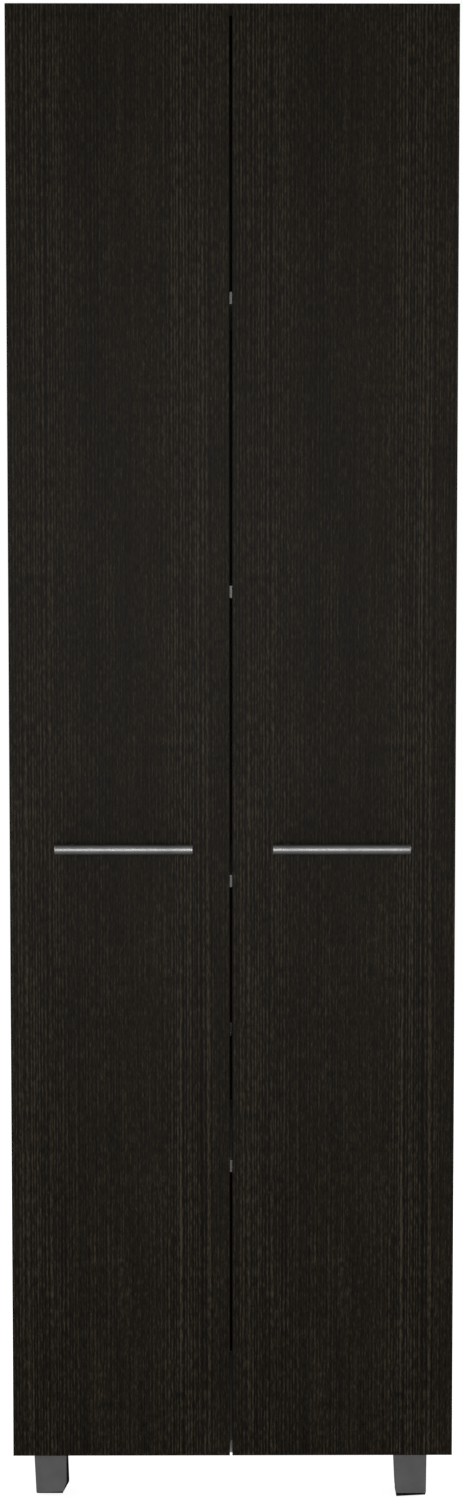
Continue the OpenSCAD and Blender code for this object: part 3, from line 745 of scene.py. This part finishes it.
satin = metal("satin_nickel", linear(150, 150, 150), 0.46, 40, brush=(25, 2400, 2400), bump=0.006,
              uneven=0.12)
for side in SIDES:
    lo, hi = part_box(side + "_handle_bar")
    length, r = hi.x - lo.x, (hi.z - lo.z) / 2
    bar = rounded_rod(length, r, r, 0, segments=64)
    left_end = (lo.x, (lo.y + hi.y) / 2, (lo.z + hi.z) / 2)
    bmesh.ops.transform(bar, matrix=aim((1, 0, 0), left_end), verts=bar.verts)
    add_piece(side + "_handle_grip", bar, satin, "handle_steel", side + "_door", side + "_handle_bar")
    softened(side + "_handle_stems", side + "_handle_posts", satin, "handle_steel", side + "_door", 0.4 * MM,
             at=DOOR_FRONT_Y)

# ------------------------------------------------------------------ stage

# The floor lies just below the feet and fades out between these two distances from its middle
FLOOR_R = 4.2
FLOOR_FADE = (1.2, FLOOR_R - 0.1)
FLOOR_DROP = 0.2 * MM
FLOOR_GREY = (0.3, 0.3, 0.3, 1)
FLOOR_GLOW = 0.9
WORLD_SEEN = 1.0
WORLD_LIGHT = 0.3
WHITE = (1, 1, 1, 1)


def blended(tree, factor, first, second, output):
    """Ends a node tree in two shaders mixed by a factor."""
    blend = tree.nodes.new("ShaderNodeMixShader")
    tree.links.new(factor, blend.inputs[0])
    tree.links.new(first, blend.inputs[1])
    tree.links.new(second, blend.inputs[2])
    tree.links.new(blend.outputs[0], tree.nodes.new(output).inputs["Surface"])


def pale_floor():
    """A pale matt surface with a glow that makes it nearly white, fading out towards its rim."""
    ground = bpy.data.materials.new("pale_floor")
    ground.use_nodes = True
    tree = ground.node_tree
    tree.nodes.clear()
    reach = tree.nodes.new("ShaderNodeVectorMath")
    reach.operation = "LENGTH"
    tree.links.new(tree.nodes.new("ShaderNodeTexCoord").outputs["Object"], reach.inputs[0])
    fade = tree.nodes.new("ShaderNodeMapRange")
    fade.interpolation_type = "SMOOTHSTEP"
    fade.inputs["From Min"].default_value, fade.inputs["From Max"].default_value = FLOOR_FADE
    tree.links.new(reach.outputs["Value"], fade.inputs["Value"])
    matt = tree.nodes.new("ShaderNodeBsdfDiffuse")
    matt.inputs["Color"].default_value = FLOOR_GREY
    glow = tree.nodes.new("ShaderNodeEmission")
    glow.inputs["Strength"].default_value = FLOOR_GLOW
    both = tree.nodes.new("ShaderNodeAddShader")
    tree.links.new(matt.outputs[0], both.inputs[0])
    tree.links.new(glow.outputs[0], both.inputs[1])
    clear = tree.nodes.new("ShaderNodeBsdfTransparent")
    blended(tree, fade.outputs["Result"], both.outputs[0], clear.outputs[0], "ShaderNodeOutputMaterial")
    return ground


def studio():
    """A world that is white to the camera and a dim even light to everything else."""
    world = bpy.data.worlds.new("studio")
    world.use_nodes = True
    tree = world.node_tree
    tree.nodes.clear()
    skies = []
    for strength in (WORLD_LIGHT, WORLD_SEEN):
        sky = tree.nodes.new("ShaderNodeBackground")
        sky.inputs["Color"].default_value = WHITE
        sky.inputs["Strength"].default_value = strength
        skies.append(sky.outputs[0])
    seen = tree.nodes.new("ShaderNodeLightPath").outputs["Is Camera Ray"]
    blended(tree, seen, *skies, "ShaderNodeOutputWorld")
    return world


def softbox(name, at, towards, width, height, radiance):
    """A soft rectangular light, aimed at a point and hidden from the camera."""
    lamp = bpy.data.lights.new(name, "AREA")
    lamp.shape = "RECTANGLE"
    lamp.size, lamp.size_y = width, height
    lamp.energy = radiance * math.pi * width * height
    made = bpy.data.objects.new(name, lamp)
    bpy.context.scene.collection.objects.link(made)
    made.location = at
    made.rotation_euler = (Vector(towards) - Vector(at)).to_track_quat("-Z", "Y").to_euler()
    made.visible_camera = False
    return made


floor_bm = bmesh.new()
bmesh.ops.create_circle(floor_bm, cap_ends=True, segments=96, radius=FLOOR_R)
floor_mesh = bpy.data.meshes.new("floor")
floor_bm.to_mesh(floor_mesh)
floor_bm.free()
floor_mesh.materials.append(pale_floor())
floor = bpy.data.objects.new("floor", floor_mesh)
bpy.context.scene.collection.objects.link(floor)
floor.location.z = -FLOOR_DROP
floor.visible_glossy = False
bpy.context.scene.world = studio()

# Each light has its place, the point it is aimed at, its width and height, and how bright it is
softbox("top_softbox", (0, -0.4, 3.9), (0, 0, 0), 3.0, 3.0, 1.2).visible_glossy = False
softbox("front_softbox", (-0.25, -4.3, 1.0), (0, 0, 1.0), 1.5, 1.5, 5.15)
for x in (-3.4, 3.4):
    softbox("side_softbox", (x, 0.9, 1.3), (0, 0.1, 0.9), 1.8, 2.0, 7.0)
softbox("rear_softbox", (0.4, 4.2, 1.5), (0, 0, 0.9), 2.2, 2.0, 4.0)
softbox("overhead_softbox", (0, 1.6, 3.6), (0, 0.1, 1.8), 2.2, 1.4, 5.0)
softbox("front_strip", (-0.02, -4.3, 1.2), (-0.02, 0, 1.0), 0.05, 1.7, 130.0)

# ------------------------------------------------------------------ camera

SENSOR_MM = 36
LENS_MM = 64.54
CAMERA_AT = (-0.0181, DOOR_FRONT_Y - 3.2407, 1.1615)
PITCH = math.radians(-4.095)
YAW = math.radians(0.297)
ROLL = math.radians(-0.016)

camera_data = bpy.data.cameras.new("camera")
camera_data.sensor_width = SENSOR_MM
camera_data.lens = LENS_MM
camera = bpy.data.objects.new("camera", camera_data)
bpy.context.scene.collection.objects.link(camera)
camera.location = CAMERA_AT
forward = Vector((math.sin(YAW) * math.cos(PITCH), math.cos(YAW) * math.cos(PITCH), math.sin(PITCH)))
level_view = forward.to_track_quat("-Z", "Y")
camera.rotation_euler = (level_view @ Matrix.Rotation(ROLL, 3, "Z").to_quaternion()).to_euler()
bpy.context.scene.camera = camera
bpy.context.scene.view_settings.view_transform = "Standard"
bpy.context.scene.view_settings.look = "None"
